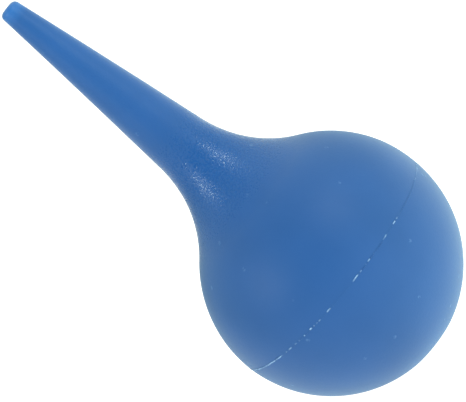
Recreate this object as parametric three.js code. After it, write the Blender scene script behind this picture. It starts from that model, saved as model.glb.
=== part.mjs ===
// Bulb nasal aspirator: a hollow rubber ball with a long tapered nozzle, standing on its flat base.
// The ball is moulded as two halves that are bonded rim to rim at its equator.
// Millimetres, +Z up. The origin is the centre of the flat base, and every piece is turned about Z.

import * as THREE from 'three';

// Driving dimensions
const BULB_RADIUS = 27;
const BASE_FLAT_RADIUS = 8.8;
const NOZZLE_REACH = 83.65;
const TIP_RADIUS = 2.2;
const NOZZLE_HALF_ANGLE = THREE.MathUtils.degToRad(5.6);
const FLARE_RADIUS = 26.4;
const TIP_ROUNDING = 1.2;
const BASE_EDGE_ROUNDING = 2;

// Hollow
const WALL = 2.4;
const BASE_THICKNESS = 3.2;
const FLOOR_ROUNDING = 4;
const ORIFICE_RADIUS = 0.85;
const BORE_HALF_ANGLE = THREE.MathUtils.degToRad(4.1);

// Seam: each half has a thicker rim on the inside, and a thin ring of bonding rubber lies between the two rims.
const RIM_THICKNESS = 3.6;
const RIM_HEIGHT = 3;
const RIM_CHAMFER = 0.9;
const BOND_THICKNESS = 0.3;
const BOND_PROUD = 0.2;

// Facets
const TURN_SEGMENTS = 40;
const DOME_STEPS = 8;
const FLARE_STEPS = 7;
const NOZZLE_STEPS = 4;
const ROUNDING_STEPS = 3;
const BEAD_STEPS = 4;

// The ball's centre stands over the base where a flat of BASE_FLAT_RADIUS cuts the sphere.
const BULB_HEIGHT = Math.sqrt(BULB_RADIUS ** 2 - BASE_FLAT_RADIUS ** 2);
const TIP_HEIGHT = BULB_HEIGHT + NOZZLE_REACH;
const CAVITY_RADIUS = BULB_RADIUS - WALL;
const RIM_INNER_RADIUS = BULB_RADIUS - RIM_THICKNESS;

const RIGHT_ANGLE = Math.PI / 2;

// Points are (radius, height). An arc includes both of its ends.
function arc(centre, radius, startAngle, endAngle, steps) {
  return Array.from({ length: steps + 1 }, (_, i) => {
    const angle = THREE.MathUtils.lerp(startAngle, endAngle, i / steps);
    return new THREE.Vector2(
      centre.x + radius * Math.cos(angle),
      centre.y + radius * Math.sin(angle),
    );
  });
}

function line(start, end, steps) {
  return Array.from({ length: steps + 1 }, (_, i) => start.clone().lerp(end, i / steps));
}

// Drops each point that repeats the one before it, where two stretches of an outline share an end.
function withoutRepeats(points) {
  return points.filter((point, i) => i === 0 || point.distanceTo(points[i - 1]) > 1e-6);
}

const bulbCentre = new THREE.Vector2(0, BULB_HEIGHT);

// The angle above the equator at which a sphere about the bulb's centre stands offset above it.
function latitude(sphereRadius, offset) {
  return Math.asin(offset / sphereRadius);
}

// From the middle of a floor, outwards over a rounded edge and up a sphere to the given offset from the equator.
function cupOutline(sphereRadius, floorHeight, rounding, topOffset) {
  const roundingHeight = floorHeight + rounding;
  const roundingRadius = Math.sqrt((sphereRadius - rounding) ** 2 - (BULB_HEIGHT - roundingHeight) ** 2);
  const roundingCentre = new THREE.Vector2(roundingRadius, roundingHeight);
  const joinAngle = Math.atan2(roundingHeight - BULB_HEIGHT, roundingRadius);
  return withoutRepeats([
    new THREE.Vector2(0, floorHeight),
    ...arc(roundingCentre, rounding, -RIGHT_ANGLE, joinAngle, ROUNDING_STEPS),
    ...arc(bulbCentre, sphereRadius, joinAngle, latitude(sphereRadius, topOffset), DOME_STEPS),
  ]);
}

// Up a sphere from an offset above the equator, through a hollow flare and along a cone to the height of the tip.
// The flare touches both the sphere and the cone. The cone has endRadius at the tip's height.
function neckOutline(sphereRadius, flareRadius, endRadius, halfAngle, startOffset) {
  const coneEnd = new THREE.Vector2(endRadius, TIP_HEIGHT);
  const outward = new THREE.Vector2(Math.cos(halfAngle), Math.sin(halfAngle));
  const alongCone = new THREE.Vector2(-outward.y, outward.x);
  const across = coneEnd.clone().sub(bulbCentre).dot(outward) + flareRadius;
  const along = Math.sqrt((sphereRadius + flareRadius) ** 2 - across ** 2);
  const flareCentre = bulbCentre.clone()
    .addScaledVector(outward, across)
    .addScaledVector(alongCone, along);
  const domeTop = Math.atan2(flareCentre.y - BULB_HEIGHT, flareCentre.x);
  const coneStart = flareCentre.clone().addScaledVector(outward, -flareRadius);
  return withoutRepeats([
    ...arc(bulbCentre, sphereRadius, latitude(sphereRadius, startOffset), domeTop, DOME_STEPS),
    ...arc(flareCentre, flareRadius, domeTop + Math.PI, halfAngle + Math.PI, FLARE_STEPS),
    ...line(coneStart, coneEnd, NOZZLE_STEPS),
  ]);
}

// The rounded corner between the nozzle's cone and its flat end.
function tipCorner() {
  const fullTurnRadius = TIP_RADIUS
    - TIP_ROUNDING * (1 - Math.sin(NOZZLE_HALF_ANGLE)) / Math.cos(NOZZLE_HALF_ANGLE);
  const centre = new THREE.Vector2(fullTurnRadius, TIP_HEIGHT - TIP_ROUNDING);
  return arc(centre, TIP_ROUNDING, NOZZLE_HALF_ANGLE, RIGHT_ANGLE, ROUNDING_STEPS);
}

// The inside of a half's rim, from the wall to the seam. side is 1 above the seam and -1 below it.
function rimInside(side) {
  const seamFace = BOND_THICKNESS / 2;
  const chamferStart = seamFace + RIM_HEIGHT;
  const chamferEnd = chamferStart + RIM_CHAMFER;
  const wallRadius = CAVITY_RADIUS * Math.cos(latitude(CAVITY_RADIUS, chamferEnd));
  return [
    new THREE.Vector2(wallRadius, BULB_HEIGHT + side * chamferEnd),
    new THREE.Vector2(RIM_INNER_RADIUS, BULB_HEIGHT + side * chamferStart),
    new THREE.Vector2(RIM_INNER_RADIUS, BULB_HEIGHT + side * seamFace),
  ];
}

// An outline turned about Z. It runs up its outer side and down its inner side, so its faces point outwards.
function turned(outline) {
  const geometry = new THREE.LatheGeometry(withoutRepeats(outline), TURN_SEGMENTS);
  geometry.rotateX(RIGHT_ANGLE);
  return geometry;
}

function piece(name, outline, material) {
  const mesh = new THREE.Mesh(turned(outline), material);
  mesh.name = name;
  return mesh;
}

const rimOffset = RIM_HEIGHT + RIM_CHAMFER + BOND_THICKNESS / 2;

// The lower cup, with the flat base that the aspirator stands on and that a thumb presses.
function baseHalf() {
  const outside = cupOutline(BULB_RADIUS, 0, BASE_EDGE_ROUNDING, -BOND_THICKNESS / 2);
  const inside = cupOutline(CAVITY_RADIUS, BASE_THICKNESS, FLOOR_ROUNDING, -rimOffset);
  const outline = [...outside, ...rimInside(-1).reverse(), ...inside.reverse()];
  const rubber = new THREE.MeshStandardMaterial({ color: 0x3a6bae, roughness: 0.5, metalness: 0 });
  return piece('base_half', outline, rubber);
}

// The upper dome, which flares into the nozzle and ends in a small round orifice.
function nozzleHalf() {
  const outside = neckOutline(BULB_RADIUS, FLARE_RADIUS, TIP_RADIUS, NOZZLE_HALF_ANGLE, BOND_THICKNESS / 2);
  const inside = neckOutline(CAVITY_RADIUS, FLARE_RADIUS + WALL, ORIFICE_RADIUS, BORE_HALF_ANGLE, rimOffset);
  outside.pop();
  const outline = [...outside, ...tipCorner(), ...inside.reverse(), ...rimInside(1)];
  outline.push(outline[0].clone());
  const rubber = new THREE.MeshStandardMaterial({ color: 0x3a6bae, roughness: 0.5, metalness: 0 });
  return piece('nozzle_half', outline, rubber);
}

// The ring of bonding rubber between the rims. Its rounded outer edge stands a little proud as a fine line.
function seamBond() {
  const edgeRadius = BOND_THICKNESS / 2;
  const outerEdge = new THREE.Vector2(BULB_RADIUS + BOND_PROUD - edgeRadius, BULB_HEIGHT);
  const innerEdge = new THREE.Vector2(RIM_INNER_RADIUS, BULB_HEIGHT);
  const outline = [
    ...arc(outerEdge, edgeRadius, -RIGHT_ANGLE, RIGHT_ANGLE, BEAD_STEPS),
    ...arc(innerEdge, edgeRadius, RIGHT_ANGLE, 3 * RIGHT_ANGLE, BEAD_STEPS),
  ];
  outline.push(outline[0].clone());
  const bond = new THREE.MeshStandardMaterial({ color: 0x5b8cc8, roughness: 0.6, metalness: 0 });
  return piece('seam_bond', outline, bond);
}

const aspirator = new THREE.Group();
aspirator.add(baseHalf(), nozzleHalf(), seamBond());

export default aspirator;
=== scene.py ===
# Looks of a bulb nasal aspirator: two moulded rubber halves, the bond between them, and a plain studio.
# Metres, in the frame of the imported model: +Z up the nozzle, the origin at the centre of the flat base.
import math
import random

import bpy
from mathutils import Matrix, Vector, noise


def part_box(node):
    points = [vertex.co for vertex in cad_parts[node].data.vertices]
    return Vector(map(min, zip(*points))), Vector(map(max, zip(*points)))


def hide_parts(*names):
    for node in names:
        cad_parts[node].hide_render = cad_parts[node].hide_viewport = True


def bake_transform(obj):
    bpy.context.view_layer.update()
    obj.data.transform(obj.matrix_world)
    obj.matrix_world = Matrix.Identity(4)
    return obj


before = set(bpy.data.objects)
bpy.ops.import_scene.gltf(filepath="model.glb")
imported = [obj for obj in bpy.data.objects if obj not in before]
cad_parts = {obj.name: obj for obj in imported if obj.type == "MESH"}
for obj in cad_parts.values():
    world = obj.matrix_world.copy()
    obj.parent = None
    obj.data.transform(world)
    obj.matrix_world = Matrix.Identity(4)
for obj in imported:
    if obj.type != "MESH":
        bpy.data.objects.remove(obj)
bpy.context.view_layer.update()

MM = 0.001
RIGHT_ANGLE = math.pi / 2

# Sizes that the frame gives
_, BASE_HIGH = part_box("base_half")
_, NOZZLE_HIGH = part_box("nozzle_half")
BOND_LOW, BOND_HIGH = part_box("seam_bond")
BULB_RADIUS = BASE_HIGH.x
SEAM_HEIGHT = (BOND_LOW.z + BOND_HIGH.z) / 2
TIP_HEIGHT = NOZZLE_HIGH.z
BOND_THICKNESS = BOND_HIGH.z - BOND_LOW.z
BOND_REACH = BOND_HIGH.x - BULB_RADIUS

# Sizes of the outline, the same as the model's
TIP_RADIUS = 2.2 * MM
NOZZLE_HALF_ANGLE = math.radians(5.6)
FLARE_RADIUS = 26.4 * MM
TIP_ROUNDING = 1.2 * MM
BASE_EDGE_ROUNDING = 2.0 * MM
WALL = 2.4 * MM
BASE_THICKNESS = 3.2 * MM
FLOOR_ROUNDING = 4.0 * MM
ORIFICE_RADIUS = 0.85 * MM
BORE_HALF_ANGLE = math.radians(4.1)
RIM_THICKNESS = 3.6 * MM
RIM_HEIGHT = 3.0 * MM
RIM_CHAMFER = 0.9 * MM

# Details that the model doesn't have: the rounded lip of the orifice, and how far the nozzle's axis bows
ORIFICE_LIP = 0.18 * MM
NOZZLE_BOW = 0.32 * MM

CAVITY_RADIUS = BULB_RADIUS - WALL
RIM_INNER_RADIUS = BULB_RADIUS - RIM_THICKNESS
RIM_OFFSET = RIM_HEIGHT + RIM_CHAMFER + BOND_THICKNESS / 2
BULB_CENTRE = Vector((0, 0, SEAM_HEIGHT))

# Spacing of an outline's points, outside, inside and round a small edge
OUTER_STEP = 0.42 * MM
INNER_STEP = 0.9 * MM
EDGE_STEP = 0.04 * MM
# Segments round the axis, of the halves and of the bond, and steps round the bond's outer edge
TURN_SEGMENTS = 240
BOND_SEGMENTS = 1440
BOND_EDGE_STEPS = 8

# Points of an outline that are no further apart than this are one point.
SAME_PLACE = 1e-5 * MM

# Edges sharper than these many degrees stay crisp.
SHELL_CREASE = 40
BOND_CREASE = 50


# ---------------------------------------------------------------- outlines: lists of (radius, height)

def arc(centre, radius, start, end, step):
    """Points of an arc about centre, from one angle to the other, both ends included."""
    steps = max(2, math.ceil(abs(end - start) * radius / step))
    angles = [start + (end - start) * i / steps for i in range(steps + 1)]
    return [(centre[0] + radius * math.cos(a), centre[1] + radius * math.sin(a)) for a in angles]


def line(start, end, step):
    """Points of a straight line, both ends included."""
    steps = max(1, math.ceil(math.dist(start, end) / step))
    return [tuple(s + (e - s) * i / steps for s, e in zip(start, end)) for i in range(steps + 1)]


def joined(*stretches):
    """The stretches as one outline, without the points where one starts on the end of the last."""
    points = []
    for point in (p for stretch in stretches for p in stretch):
        if not points or math.dist(point, points[-1]) > SAME_PLACE:
            points.append(point)
    return points


def latitude(sphere_radius, offset):
    """The angle above the seam at which a sphere about the bulb's centre stands offset above it."""
    return math.asin(offset / sphere_radius)


def cup(sphere_radius, floor_height, rounding, top_offset, step):
    """From the middle of a floor, over a rounded edge and up a sphere to an offset from the seam."""
    corner_height = floor_height + rounding
    drop = SEAM_HEIGHT - corner_height
    corner = (math.sqrt((sphere_radius - rounding) ** 2 - drop ** 2), corner_height)
    join = math.atan2(-drop, corner[0])
    return joined(
        line((0.0, floor_height), (corner[0], floor_height), step),
        arc(corner, rounding, -RIGHT_ANGLE, join, step / 2),
        arc((0.0, SEAM_HEIGHT), sphere_radius, join, latitude(sphere_radius, top_offset), step),
    )


def neck(sphere_radius, flare_radius, end_radius, half_angle, start_offset, end_height, step):
    """Up a sphere from an offset above the seam, through a hollow flare that touches it, and along a cone.

    The cone has end_radius at the tip's height, and the outline follows it to end_height."""
    across_x = math.cos(half_angle)
    across_z = math.sin(half_angle)
    across = end_radius * across_x + (TIP_HEIGHT - SEAM_HEIGHT) * across_z + flare_radius
    along = math.sqrt((sphere_radius + flare_radius) ** 2 - across ** 2)
    flare = (across * across_x - along * across_z, SEAM_HEIGHT + across * across_z + along * across_x)
    dome_top = math.atan2(flare[1] - SEAM_HEIGHT, flare[0])
    cone_start = (flare[0] - flare_radius * across_x, flare[1] - flare_radius * across_z)
    cone_end = (end_radius + (TIP_HEIGHT - end_height) * math.tan(half_angle), end_height)
    return joined(
        arc((0.0, SEAM_HEIGHT), sphere_radius, latitude(sphere_radius, start_offset), dome_top, step),
        arc(flare, flare_radius, dome_top + math.pi, half_angle + math.pi, step),
        line(cone_start, cone_end, step),
    )


def rim_inside(side):
    """The inside of a half's rim, from the wall to the seam. side is 1 above the seam and -1 below it."""
    seam_face = BOND_THICKNESS / 2
    chamfer_start = seam_face + RIM_HEIGHT
    chamfer_end = chamfer_start + RIM_CHAMFER
    wall_radius = CAVITY_RADIUS * math.cos(latitude(CAVITY_RADIUS, chamfer_end))
    return [
        (wall_radius, SEAM_HEIGHT + side * chamfer_end),
        (RIM_INNER_RADIUS, SEAM_HEIGHT + side * chamfer_start),
        (RIM_INNER_RADIUS, SEAM_HEIGHT + side * seam_face),
    ]


def base_outline():
    """The lower cup, from the middle of its foot round its rim to the middle of its inner floor."""
    outside = cup(BULB_RADIUS, 0.0, BASE_EDGE_ROUNDING, -BOND_THICKNESS / 2, OUTER_STEP)
    inside = cup(CAVITY_RADIUS, BASE_THICKNESS, FLOOR_ROUNDING, -RIM_OFFSET, INNER_STEP)
    return joined(outside, rim_inside(-1)[::-1], inside[::-1])


def tip_end():
    """The nozzle's rounded end, its flat face and the lip of the orifice."""
    inset = TIP_ROUNDING * (1 - math.sin(NOZZLE_HALF_ANGLE)) / math.cos(NOZZLE_HALF_ANGLE)
    corner = (TIP_RADIUS - inset, TIP_HEIGHT - TIP_ROUNDING)
    lip = (ORIFICE_RADIUS + ORIFICE_LIP, TIP_HEIGHT - ORIFICE_LIP)
    return joined(
        arc(corner, TIP_ROUNDING, NOZZLE_HALF_ANGLE, RIGHT_ANGLE, EDGE_STEP),
        arc(lip, ORIFICE_LIP, RIGHT_ANGLE, math.pi, EDGE_STEP),
    )


def nozzle_outline():
    """The upper dome and nozzle, up the outside, over the tip, down the bore and round the rim."""
    corner_drop = TIP_ROUNDING * (1 - math.sin(NOZZLE_HALF_ANGLE))
    outside = neck(BULB_RADIUS, FLARE_RADIUS, TIP_RADIUS, NOZZLE_HALF_ANGLE, BOND_THICKNESS / 2,
                   TIP_HEIGHT - corner_drop, OUTER_STEP)
    inside = neck(CAVITY_RADIUS, FLARE_RADIUS + WALL, ORIFICE_RADIUS, BORE_HALF_ANGLE, RIM_OFFSET,
                  TIP_HEIGHT - ORIFICE_LIP, INNER_STEP)
    return joined(outside, tip_end(), inside[::-1], rim_inside(1), outside[:1])


def outer_count(outline):
    """How many of an outline's first points run up the outside, to where the outline turns inwards."""
    heights = [height for _, height in outline]
    return heights.index(max(heights))


# ---------------------------------------------------------------- surfaces

# A moulded wall swells and sinks by these heights over features of these sizes, in millimetres.
BROAD_SWELL = 0.030
BROAD_SIZE = 13.0
SMALL_SWELL = 0.008
SMALL_SIZE = 4.5
# A shift in the noise, so that the small features don't follow the broad ones
SMALL_SHIFT = Vector((7.0, 3.0, 1.0))

# How far from the axis, the seam and the foot the wall grows fully uneven
AXIS_FADE = 6 * MM
SEAM_FADE = 2.5 * MM
FOOT_FADE = 3 * MM


def unevenness(radius, angle, height):
    """How far a moulded wall swells or sinks, in metres. It is nothing at the axis, seam and foot."""
    place = Vector((radius * math.sin(angle), -radius * math.cos(angle), height)) / MM
    broad = noise.noise(place / BROAD_SIZE)
    small = noise.noise(place / SMALL_SIZE + SMALL_SHIFT)
    near_axis = min(1.0, radius / AXIS_FADE)
    near_seam = min(1.0, abs(height - SEAM_HEIGHT) / SEAM_FADE)
    near_foot = min(1.0, height / FOOT_FADE)
    return (BROAD_SWELL * broad + SMALL_SWELL * small) * MM * near_axis * near_seam * near_foot


def bow(height):
    """How far the nozzle's axis stands off towards +X, as soft rubber seldom sets quite straight."""
    share = (height - SEAM_HEIGHT) / (TIP_HEIGHT - SEAM_HEIGHT)
    return NOZZLE_BOW * 4 * share * (1 - share) if 0 < share < 1 else 0.0


def keep_place(mesh):
    """Stores each point's place at rest, in millimetres, so that patterns stay put when the bulb bends."""
    stored = mesh.attributes.new("rest_mm", "FLOAT_VECTOR", "POINT")
    for vertex, value in zip(mesh.vertices, stored.data):
        value.vector = vertex.co / MM


def shown(name, vertices, faces, crease):
    """An object in the scene with smooth faces, and edges sharper than crease degrees kept crisp."""
    mesh = bpy.data.meshes.new(name)
    mesh.from_pydata(vertices, [], faces)
    mesh.validate()
    mesh.shade_smooth()
    mesh.set_sharp_from_angle(angle=math.radians(crease))
    keep_place(mesh)
    obj = bpy.data.objects.new(name, mesh)
    bpy.context.scene.collection.objects.link(obj)
    return obj


def turned(name, outline, closed):
    """A solid turned about Z, whose outside is uneven and whose axis bows along the nozzle.

    A closed outline is a ring's. Any other starts and ends on the axis."""
    outer_points = outer_count(outline)
    angles = [2 * math.pi * k / TURN_SEGMENTS for k in range(TURN_SEGMENTS)]
    vertices = []
    rows = []
    for i, (radius, height) in enumerate(outline):
        if radius == 0.0:
            rows.append([len(vertices)] * TURN_SEGMENTS)
            vertices.append((0.0, 0.0, height))
            continue
        rows.append(list(range(len(vertices), len(vertices) + TURN_SEGMENTS)))
        for angle in angles:
            wide = radius + (unevenness(radius, angle, height) if i < outer_points else 0.0)
            vertices.append((wide * math.sin(angle) + bow(height), -wide * math.cos(angle), height))
    pairs = list(zip(rows, rows[1:]))
    if closed:
        pairs.append((rows[-1], rows[0]))
    faces = []
    for low, high in pairs:
        for k in range(TURN_SEGMENTS):
            n = (k + 1) % TURN_SEGMENTS
            corners = [low[k], low[n], high[n], high[k]]
            faces.append(tuple(dict.fromkeys(corners)))
    return shown(name, vertices, faces, SHELL_CREASE)


# ---------------------------------------------------------------- seam

SEAM_SEED = 11
# How far the bond's outer edge bulges where it lies flush, and how far its inner edge bulges
FLUSH_BULGE = 0.01 * MM
INNER_BULGE = 0.15 * MM
# Flash wavers up and down by up to this many times as far as it stands out.
WAVER = 2.0
# About how many wavers there are to a radian, and the level at which the noise is cut for them
WAVER_CROWDING = 18
WAVER_LEVEL = 0.3
# Flash that stands out this far carries the full painted highlight.
HIGHLIGHT_REACH = 0.13 * MM
# Angles round the bond's outer edge, from its lower side to its upper
EDGE_TURNS = [RIGHT_ANGLE * (2 * i / BOND_EDGE_STEPS - 1) for i in range(BOND_EDGE_STEPS + 1)]


class Seam:
    """The outer edge of the bond round the bulb, and how far it stands out at each azimuth.

    Azimuths run from the front towards +X. They and lengths are in degrees, heights and depths in
    millimetres."""

    # Stretches of torn flash, as (azimuth, half length, height)
    RUNS = ((-69, 19, 0.07), (-70, 3.5, 0.09), (-58, 3.0, 0.12), (-51, 1.5, 0.10), (-42.5, 1.0, 0.12),
            (-16, 1.0, 0.13), (1.4, 1.7, 0.13), (22.5, 1.4, 0.06), (30.7, 0.8, 0.17), (33.4, 0.5, 0.12),
            (60, 1.0, 0.10), (74, 8, 0.06))
    # Stretches where the bond has shrunk into a fine groove, as (azimuth, half length, depth)
    GROOVES = ((12, 9, 0.06), (47, 10, 0.04), (-34, 12, 0.02))
    # Stretches of small separate beads, as azimuths from and to
    BEADS = ((-49, -21), (5, 20), (100, 165), (210, 262))
    BEAD_HALF_LENGTHS = (0.3, 0.8)
    BEAD_HEIGHTS = (0.03, 0.14)
    BEAD_SPACINGS = (1.6, 4.5)
    # The back, where runs and grooves follow each other by chance
    BACK = (95.0, 265.0)
    BACK_HALF_LENGTHS = (1.0, 9.0)
    BACK_RUN_HEIGHTS = (0.04, 0.14)
    BACK_GROOVE_DEPTHS = (0.02, 0.06)
    BACK_SPACINGS = (1.6, 3.4)
    # A stretch's height falls to 0 over this share of its half length, at each end.
    END_SHARE = 0.6
    # The torn edge's height is a mean plus long and short waves, and is never less than the least.
    RAGGED_MEAN = 0.9
    RAGGED_LEAST = 0.2
    LONG_WAVES = 1.3
    SHORT_WAVES = 0.7
    # About how many of the waves there are to a radian
    LONG_CROWDING = 15
    SHORT_CROWDING = 55

    def __init__(self, seed):
        draw = random.Random(seed)
        self.runs = list(self.RUNS)
        self.grooves = list(self.GROOVES)
        for start, end in self.BEADS:
            self.add_beads(draw, start, end)
        self.add_back(draw)

    def add_beads(self, draw, azimuth, end):
        while azimuth < end:
            half_length = draw.uniform(*self.BEAD_HALF_LENGTHS)
            self.runs.append((azimuth, half_length, draw.uniform(*self.BEAD_HEIGHTS)))
            azimuth += draw.uniform(*self.BEAD_SPACINGS)

    def add_back(self, draw):
        azimuth, end = self.BACK
        while azimuth < end:
            half_length = draw.uniform(*self.BACK_HALF_LENGTHS)
            if draw.random() < 0.5:
                self.runs.append((azimuth, half_length, draw.uniform(*self.BACK_RUN_HEIGHTS)))
            else:
                self.grooves.append((azimuth, half_length, draw.uniform(*self.BACK_GROOVE_DEPTHS)))
            azimuth += half_length * draw.uniform(*self.BACK_SPACINGS)

    def share(self, azimuth, middle, half_length):
        """1 inside a stretch, falling to 0 over its ends, and 0 outside it."""
        away = abs((azimuth - middle + 180) % 360 - 180)
        return max(0.0, min(1.0, (half_length - away) / (self.END_SHARE * half_length) + 0.5))

    def ragged(self, azimuth):
        """A torn edge's height as a multiple of its stretch's, from about 0.2 to 1.9."""
        place = Vector((math.sin(math.radians(azimuth)), math.cos(math.radians(azimuth)), 0.0))
        long_waves = self.LONG_WAVES * noise.noise(place * self.LONG_CROWDING)
        short_waves = self.SHORT_WAVES * noise.noise(place * self.SHORT_CROWDING)
        return max(self.RAGGED_LEAST, self.RAGGED_MEAN + long_waves + short_waves)

    def proud(self, azimuth):
        """How far the edge stands out of the bulb, in metres. It is below 0 in a groove."""
        out = sum(self.share(azimuth, m, h) * height for m, h, height in self.runs)
        sunk = sum(self.share(azimuth, m, h) * depth for m, h, depth in self.grooves)
        return min(BOND_REACH, (out * self.ragged(azimuth) - sunk) * MM)


def bond_section(proud, waver):
    """The bond's outer edge, upwards, and its inner edge, downwards, as (radius, height over the seam)."""
    half = BOND_THICKNESS / 2
    bulge = max(0.0, proud) + FLUSH_BULGE
    outer = [(BULB_RADIUS + proud - bulge * (1 - math.cos(t)), half * math.sin(t) + waver * math.cos(t))
             for t in EDGE_TURNS]
    inner = [(RIM_INNER_RADIUS, half), (RIM_INNER_RADIUS - INNER_BULGE, 0.0), (RIM_INNER_RADIUS, -half)]
    return outer, inner


def bond_ring(name):
    """The bond between the rims. Its outer edge is torn in some stretches and sunk in others.

    Each point stores a share that is 1 along the crest of tall flash, less where it is lower, and 0
    elsewhere: how much painted highlight the bond's colour takes there, and how torn it is."""
    seam = Seam(SEAM_SEED)
    vertices = []
    crest_and_highlight = []
    for k in range(BOND_SEGMENTS):
        degrees = 360.0 * k / BOND_SEGMENTS
        angle = math.radians(degrees)
        proud = seam.proud(degrees)
        along = Vector((math.sin(angle), math.cos(angle), WAVER_LEVEL))
        waver = WAVER * max(0.0, proud) * noise.noise(along * WAVER_CROWDING)
        outer, inner = bond_section(proud, waver)
        for radius, height in outer + inner:
            vertices.append((radius * math.sin(angle), -radius * math.cos(angle), SEAM_HEIGHT + height))
        # Painted highlight: how far flash stands out sets how pale its crest is painted, most in the middle
        # of its edge
        crest = max(0.0, min(1.0, proud / HIGHLIGHT_REACH))
        crest_and_highlight += [crest * math.cos(t) for t in EDGE_TURNS] + [0.0] * len(inner)
    count = len(vertices) // BOND_SEGMENTS
    faces = []
    for k in range(BOND_SEGMENTS):
        here = k * count
        there = (k + 1) % BOND_SEGMENTS * count
        for i in range(count):
            j = (i + 1) % count
            faces.append((here + i, there + i, there + j, here + j))
    ring = shown(name, vertices, faces, BOND_CREASE)
    ring.data.attributes.new("crest_and_highlight", "FLOAT", "POINT").data.foreach_set("value", crest_and_highlight)
    return ring


# ---------------------------------------------------------------- node trees

class Nodes:
    """A node tree, with short calls for the nodes that the rubber and the studio use."""

    # The Mix node's sockets for colours, which share their names with those for numbers
    MIX_SHARE = 0
    MIX_A = 6
    MIX_B = 7
    MIX_RESULT = 2

    def __init__(self, tree):
        self.tree = tree

    def link(self, value, socket):
        """Leads another node's output to a socket, or sets the socket to a plain value."""
        if isinstance(value, bpy.types.NodeSocket):
            self.tree.links.new(value, socket)
        else:
            socket.default_value = value

    def node(self, kind, **inputs):
        made = self.tree.nodes.new(kind)
        for name, value in inputs.items():
            self.link(value, made.inputs[name.replace("_", " ")])
        return made

    def attribute(self, name, output):
        made = self.tree.nodes.new("ShaderNodeAttribute")
        made.attribute_name = name
        return made.outputs[output]

    def noise(self, place, size, detail=2.0, rough=0.5):
        """Noise from 0 to 1 with features about size millimetres across."""
        made = self.node("ShaderNodeTexNoise", Vector=place, Scale=1 / size, Detail=detail, Roughness=rough)
        return made.outputs["Fac"]

    def maths(self, operation, a, b):
        made = self.tree.nodes.new("ShaderNodeMath")
        made.operation = operation
        self.link(a, made.inputs[0])
        self.link(b, made.inputs[1])
        return made.outputs[0]

    def ranged(self, value, low, high, to_low, to_high, smooth=False):
        """to_low where value is low or less, to_high where it is high or more, and a blend in between."""
        made = self.node("ShaderNodeMapRange", Value=value)
        made.interpolation_type = "SMOOTHSTEP" if smooth else "LINEAR"
        made.inputs["From Min"].default_value = low
        made.inputs["From Max"].default_value = high
        made.inputs["To Min"].default_value = to_low
        made.inputs["To Max"].default_value = to_high
        return made.outputs[0]

    def mixed(self, share, a, b):
        """Colour a where share is 0, and b where it is 1."""
        made = self.tree.nodes.new("ShaderNodeMix")
        made.data_type = "RGBA"
        self.link(share, made.inputs[self.MIX_SHARE])
        self.link(a, made.inputs[self.MIX_A])
        self.link(b, made.inputs[self.MIX_B])
        return made.outputs[self.MIX_RESULT]

    def bump(self, height, depth, below=None):
        """Raises the surface by height, which runs from 0 to 1, times depth in metres."""
        made = self.node("ShaderNodeBump", Height=height, Strength=1.0, Distance=depth)
        if below is not None:
            self.link(below, made.inputs["Normal"])
        return made.outputs[0]


class Shader(Nodes):
    """A new material's node tree. finish gives plain values to the surface's own sockets, by name."""

    def __init__(self, name, finish):
        self.material = bpy.data.materials.new(name)
        self.material.use_nodes = True
        super().__init__(self.material.node_tree)
        self.surface = self.tree.nodes["Principled BSDF"].inputs
        for socket, value in finish.items():
            self.surface[socket].default_value = value


# ---------------------------------------------------------------- materials

RUBBER_BLUE = (0.0165, 0.113, 0.372, 1)
RUBBER_DEEP = (0.0125, 0.103, 0.344, 1)
RUBBER_TIP = (0.029, 0.175, 0.515, 1)
RUBBER_PALE = (0.160, 0.370, 0.680, 1)
# The colour of the painted highlight along the crests of flash, where it catches the light
FLASH_HIGHLIGHT_COLOUR = (0.340, 0.620, 0.950, 1)

# The finish that all the rubber shares: a soft cyan bloom over a slightly translucent body
POWDERY_FINISH = {
    "IOR": 1.42,
    "Specular Tint": (0.85, 1.0, 0.95, 1),
    "Sheen Weight": 0.28,
    "Sheen Roughness": 0.50,
    "Sheen Tint": (0.62, 1.0, 0.92, 1),
    "Subsurface Weight": 0.08,
    "Subsurface Radius": (0.3, 0.8, 1.6),
    "Subsurface Scale": 1.0 * MM,
}

# Sizes of the patterns in millimetres, as they are read from each point's place at rest
CLOUD_SIZE = 16.0
GRAIN_SIZE = 0.40
PEBBLE_SIZE = 1.1
CRUMB_SIZE = 0.6
SPECK_SPACING = 4.0
SPECK_RADIUS = 0.60
PIT_SPACING = 8.0
PIT_RADIUS = 0.40
FLASH_PATCH_SIZE = 1.3
FLASH_CRUMB_SIZE = 0.35

# Stretches of a noise's values, which run from 0 to 1, that a pattern spreads over. A narrow one is crisp.
CLOUD_SPAN = (0.35, 0.65)
CRUMB_SPAN = (0.42, 0.58)
SATIN_SPAN = (0.3, 0.7)
SPARKLE_SPAN = (0.40, 0.62)
FLASH_PATCH_SPAN = (0.36, 0.60)

# Shares of the specks and pits that show, how far a speck pales, and how much painted highlight flash keeps
# outside its patches
SPECKS_KEPT = 0.45
PITS_KEPT = 0.40
SPECK_PALENESS = 0.28
FLASH_HIGHLIGHT_BETWEEN_PATCHES = 0.35
# A spot is whole out to this share of its radius, and fades from there.
SPOT_CORE = 0.4

# How far each pattern raises or sinks the surface
PEBBLE_HEIGHT = 0.008 * MM
GRAIN_HEIGHT = 0.09 * MM
SPECK_HEIGHT = 0.04 * MM
PIT_DEPTH = 0.015 * MM
FLASH_HEIGHT = 0.02 * MM

# Heights in millimetres where the dome turns into the flare of the neck, and of the nozzle's tip
FLARE_AT = SEAM_HEIGHT / MM + 21.5
TIP_AT = TIP_HEIGHT / MM

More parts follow.
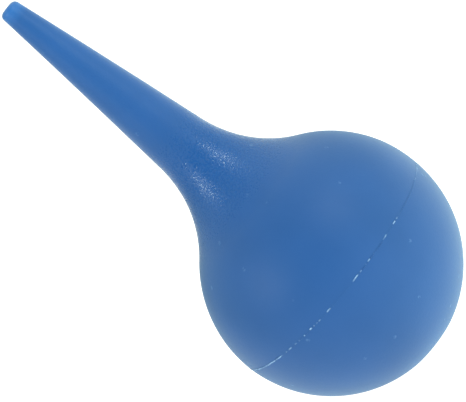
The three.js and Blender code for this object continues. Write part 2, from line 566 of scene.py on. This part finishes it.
# Stretches of height over which the rubber changes on the way up: it turns glossy and coarse at the flare,
# grows smoother and paler along the nozzle, and pales at the tip.
GLOSS_RISE = (FLARE_AT - 5, FLARE_AT + 3)
COARSE_RISE = (FLARE_AT - 2, FLARE_AT + 6)
COARSE_FADE = (FLARE_AT + 14, FLARE_AT + 26)
PALE_RISE = (FLARE_AT + 16, TIP_AT - 2)
TIP_RISE = (TIP_AT - 4.5, TIP_AT - 0.5)

# How coarse the nozzle stays past the flare, and how far it has turned to the tip's colour short of the tip
COARSE_LEFT = 0.25
PALE_SHARE = 0.20

# Roughness from the grain's hollows to its crests: all over, what coarse rubber adds, and what gloss adds
SATIN = (0.50, 0.56)
SPARKLE = (-0.26, 0.05)
GLOSS = -0.10
FLASH_ROUGHNESS = (0.48, 0.60)

# How much of its height the grain has on smooth rubber, and the crumbs of the bond where it lies flush
GRAIN_ON_SMOOTH = 0.12
CRUMBS_ON_FLUSH = 0.2


def spots(shader, place, spacing, radius, share_kept):
    """1 inside small round spots strewn about, 0 elsewhere. share_kept is the share of them that show."""
    cells = shader.node("ShaderNodeTexVoronoi", Vector=place, Scale=1 / spacing)
    edge = radius / spacing
    near = shader.ranged(cells.outputs["Distance"], SPOT_CORE * edge, edge, 1, 0, smooth=True)
    apart = shader.node("ShaderNodeSeparateColor", Color=cells.outputs["Color"])
    kept = shader.maths("LESS_THAN", apart.outputs[0], share_kept)
    return shader.maths("MULTIPLY", near, kept)


def clouded(shader, place):
    """The rubber's blue, in faint broad clouds."""
    clouds = shader.noise(place, CLOUD_SIZE, 3.0)
    return shader.mixed(shader.ranged(clouds, *CLOUD_SPAN, 0, 1), RUBBER_DEEP, RUBBER_BLUE)


def coarseness(shader, height):
    """How coarse the surface is: 0 on the ball, 1 on the flare, and fading along the nozzle."""
    flared = shader.ranged(height, *COARSE_RISE, 0, 1, smooth=True)
    past_flare = shader.ranged(height, *COARSE_FADE, 1, COARSE_LEFT, smooth=True)
    return shader.maths("MULTIPLY", flared, past_flare)


def rubber_colour(shader, place, height, specks):
    """Clouded blue that pales up the nozzle, most of all at its tip, with faint paler specks."""
    up_nozzle = shader.ranged(height, *PALE_RISE, 0, PALE_SHARE)
    at_tip = shader.ranged(height, *TIP_RISE, 0, 1, smooth=True)
    tip_share = shader.maths("MAXIMUM", up_nozzle, at_tip)
    tipped = shader.mixed(tip_share, clouded(shader, place), RUBBER_TIP)
    return shader.mixed(shader.maths("MULTIPLY", specks, SPECK_PALENESS), tipped, RUBBER_PALE)


def rubber_roughness(shader, height, grain, coarse):
    """Satin all over, glossier from the neck up, and sparkling from grain to grain where it is coarse."""
    satin = shader.ranged(grain, *SATIN_SPAN, *SATIN)
    sparkle = shader.maths("MULTIPLY", coarse, shader.ranged(grain, *SPARKLE_SPAN, *SPARKLE))
    on_neck = shader.ranged(height, *GLOSS_RISE, 0, 1, smooth=True)
    gloss = shader.maths("MULTIPLY", on_neck, GLOSS)
    return shader.maths("ADD", satin, shader.maths("ADD", gloss, sparkle))


def rubber_relief(shader, place, grain, coarse, specks):
    """Soft pebbling, grain that is strongest on the flare, raised specks and small pits."""
    pebble = shader.noise(place, PEBBLE_SIZE)
    pits = spots(shader, place, PIT_SPACING, PIT_RADIUS, PITS_KEPT)
    strong_grain = shader.maths("MULTIPLY", grain, shader.ranged(coarse, 0, 1, GRAIN_ON_SMOOTH, 1.0))
    soft = shader.bump(pebble, PEBBLE_HEIGHT)
    fine = shader.bump(strong_grain, GRAIN_HEIGHT, soft)
    raised = shader.bump(specks, SPECK_HEIGHT, fine)
    return shader.bump(shader.maths("SUBTRACT", 1.0, pits), PIT_DEPTH, raised)


def rubber(name):
    """Satin moulded rubber: deep blue, faintly clouded, powdery, and glossier and grainier up the neck."""
    shader = Shader(name, POWDERY_FINISH)
    place = shader.attribute("rest_mm", "Vector")
    height = shader.node("ShaderNodeSeparateXYZ", Vector=place).outputs["Z"]
    grain = shader.noise(place, GRAIN_SIZE, 1.0)
    coarse = coarseness(shader, height)
    crumbs = shader.ranged(shader.noise(place, CRUMB_SIZE, rough=0.6), *CRUMB_SPAN, 0, 1)
    round_specks = spots(shader, place, SPECK_SPACING, SPECK_RADIUS, SPECKS_KEPT)
    specks = shader.maths("MULTIPLY", round_specks, crumbs)
    shader.link(rubber_colour(shader, place, height, specks), shader.surface["Base Color"])
    shader.link(rubber_roughness(shader, height, grain, coarse), shader.surface["Roughness"])
    shader.link(rubber_relief(shader, place, grain, coarse, specks), shader.surface["Normal"])
    return shader.material


def bond(name):
    """The bond's rubber: the halves' blue where it lies flush, and where flash stands out, rougher and with
    a painted highlight in a pale colour.
    """
    shader = Shader(name, POWDERY_FINISH)
    place = shader.attribute("rest_mm", "Vector")
    crest_and_highlight = shader.attribute("crest_and_highlight", "Fac")
    crumbs = shader.noise(place, FLASH_CRUMB_SIZE, rough=0.7)
    patchy = shader.noise(place, FLASH_PATCH_SIZE, 1.0)
    patches = shader.ranged(patchy, *FLASH_PATCH_SPAN, FLASH_HIGHLIGHT_BETWEEN_PATCHES, 1)
    # Painted highlight: the crests of flash are painted pale, in patches
    colour = shader.mixed(shader.maths("MULTIPLY", crest_and_highlight, patches), clouded(shader, place), FLASH_HIGHLIGHT_COLOUR)
    shader.link(colour, shader.surface["Base Color"])
    shader.link(shader.ranged(crumbs, *SATIN_SPAN, *FLASH_ROUGHNESS), shader.surface["Roughness"])
    torn = shader.maths("MULTIPLY", crumbs, shader.ranged(crest_and_highlight, 0, 1, CRUMBS_ON_FLUSH, 1.0))
    shader.link(shader.bump(torn, FLASH_HEIGHT), shader.surface["Normal"])
    return shader.material


# ---------------------------------------------------------------- pieces

def fitted(piece, node, material):
    """Gives a piece its material, hides the CAD node that it stands for and bakes its transform."""
    piece.data.materials.append(material)
    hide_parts(node)
    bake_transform(piece)


def base_shell():
    """The lower half of the bulb."""
    shell = turned("base_shell", base_outline(), closed=False)
    fitted(shell, "base_half", rubber("bulb_rubber"))


def nozzle_shell():
    """The upper half of the bulb with the nozzle."""
    shell = turned("nozzle_shell", nozzle_outline(), closed=True)
    fitted(shell, "nozzle_half", rubber("nozzle_rubber"))


def seam_bond():
    """The bond between the halves."""
    fitted(bond_ring("bond_ring"), "seam_bond", bond("bond_rubber"))


# ---------------------------------------------------------------- studio

WHITE = (1, 1, 1, 1)

# How bright the tent's walls are on the left and on the right, and the share of it that the front has
TENT_LEFT = 0.24
TENT_RIGHT = 0.70
TENT_FRONT = 0.15
# What the top adds to the walls' light, and how bright the hem is, where the tent meets the floor
TENT_TOP = 0.40
TENT_HEM = 1.0
# Stretches of a direction's X, Y and Z over which the tent goes from left to right, from front to back,
# from the walls to the top, and from the hem to the walls
TENT_SIDEWAYS = (-0.4, 0.7)
TENT_BACKWARDS = (-0.9, 0.2)
TENT_UPWARDS = (0.0, 1.0)
TENT_HEM_EDGE = (0.065, 0.10)

# The light table's own light, left and right of the bulb
FLOOR_GLOW_LEFT = 0.96
FLOOR_GLOW_RIGHT = 1.30
FLOOR_TINT_RIGHT = (0.97, 1.0, 0.93, 1)
# Which way the light grows over the table, and over what stretch that way from the bulb's axis
FLOOR_RIGHTWARDS = (0.96, 0.28, 0.0)
FLOOR_GLOW_RISE = (-0.7 * BULB_RADIUS, 0.0)
FLOOR_FINISH = {"Base Color": (0.25, 0.25, 0.25, 1), "Roughness": 0.9, "Specular IOR Level": 0.1}
FLOOR_RADIUS = 6.0


def floor():
    """A wide white light table, lit from below so that the bulb's foot isn't lost in its own shade."""
    bpy.ops.mesh.primitive_circle_add(vertices=128, radius=FLOOR_RADIUS, fill_type="NGON")
    disc = bpy.context.object
    disc.name = "floor"
    shader = Shader("pale_floor", FLOOR_FINISH)
    place = shader.node("ShaderNodeTexCoord").outputs["Object"]
    across = shader.node("ShaderNodeVectorMath", Vector=place)
    across.operation = "DOT_PRODUCT"
    across.inputs[1].default_value = FLOOR_RIGHTWARDS
    rightness = shader.ranged(across.outputs["Value"], *FLOOR_GLOW_RISE, 0, 1, smooth=True)
    glow = shader.ranged(rightness, 0, 1, FLOOR_GLOW_LEFT, FLOOR_GLOW_RIGHT)
    shader.link(glow, shader.surface["Emission Strength"])
    shader.link(shader.mixed(rightness, WHITE, FLOOR_TINT_RIGHT), shader.surface["Emission Color"])
    disc.data.materials.append(shader.material)


def surroundings():
    """A white tent: brighter to the right, dark in front, brighter overhead, with a bright hem."""
    world = bpy.data.worlds.new("tent")
    world.use_nodes = True
    nodes = Nodes(world.node_tree)
    towards = nodes.node("ShaderNodeTexCoord").outputs["Generated"]
    apart = nodes.node("ShaderNodeSeparateXYZ", Vector=towards).outputs
    sideways = nodes.ranged(apart["X"], *TENT_SIDEWAYS, TENT_LEFT, TENT_RIGHT, smooth=True)
    backwards = nodes.ranged(apart["Y"], *TENT_BACKWARDS, TENT_FRONT, 1, smooth=True)
    overhead = nodes.ranged(apart["Z"], *TENT_UPWARDS, 0, TENT_TOP, smooth=True)
    hem = nodes.ranged(apart["Z"], *TENT_HEM_EDGE, TENT_HEM, 0, smooth=True)
    walls = nodes.maths("ADD", nodes.maths("MULTIPLY", sideways, backwards), overhead)
    background = world.node_tree.nodes["Background"].inputs
    nodes.link(nodes.maths("MAXIMUM", walls, hem), background["Strength"])
    nodes.link(WHITE, background["Color"])
    bpy.context.scene.world = world


def direction(azimuth, elevation):
    """A unit vector. Azimuth 0 is the front, the -Y side, and 90 is the +X side. Degrees."""
    a = math.radians(azimuth)
    e = math.radians(elevation)
    return Vector((math.sin(a) * math.cos(e), -math.cos(a) * math.cos(e), math.sin(e)))


def softbox(name, azimuth, elevation, distance, size, power):
    """A square area light that faces the bulb. Degrees, metres and watts."""
    lamp = bpy.data.lights.new(name, "AREA")
    lamp.shape = "SQUARE"
    lamp.size = size
    lamp.energy = power
    box = bpy.data.objects.new(name, lamp)
    towards = direction(azimuth, elevation)
    box.location = BULB_CENTRE + towards * distance
    box.rotation_euler = towards.to_track_quat("Z", "Y").to_euler()
    bpy.context.scene.collection.objects.link(box)


def camera():
    """A long lens a little above the bulb, turned so that the nozzle points to the upper left."""
    elevation = math.radians(9.03)
    turn = math.radians(51.78)
    distance = 18.88 * BULB_RADIUS
    # Where the bulb's centre stands from the picture's middle
    right_of_middle = 0.7385 * BULB_RADIUS
    below_middle = 0.4724 * BULB_RADIUS
    level = Vector((1, 0, 0))
    upright = Vector((0, math.sin(elevation), math.cos(elevation)))
    back = Vector((0, -math.cos(elevation), math.sin(elevation)))
    right = math.cos(turn) * level - math.sin(turn) * upright
    up = math.sin(turn) * level + math.cos(turn) * upright
    lens = bpy.data.cameras.new("camera")
    lens.sensor_width = 36
    lens.lens = 193.1
    lens.clip_start = 0.01
    eye = bpy.data.objects.new("camera", lens)
    place = BULB_CENTRE - right * right_of_middle + up * below_middle + back * distance
    eye.matrix_world = Matrix.Translation(place) @ Matrix((right, up, back)).transposed().to_4x4()
    bpy.context.scene.collection.objects.link(eye)
    bpy.context.scene.camera = eye


base_shell()
nozzle_shell()
seam_bond()

floor()
surroundings()
softbox("right_box", azimuth=45, elevation=32, distance=0.7, size=0.17, power=1.35)
softbox("left_box", azimuth=-58, elevation=34, distance=0.7, size=0.16, power=1.35)
camera()
bpy.context.scene.view_settings.view_transform = "Standard"
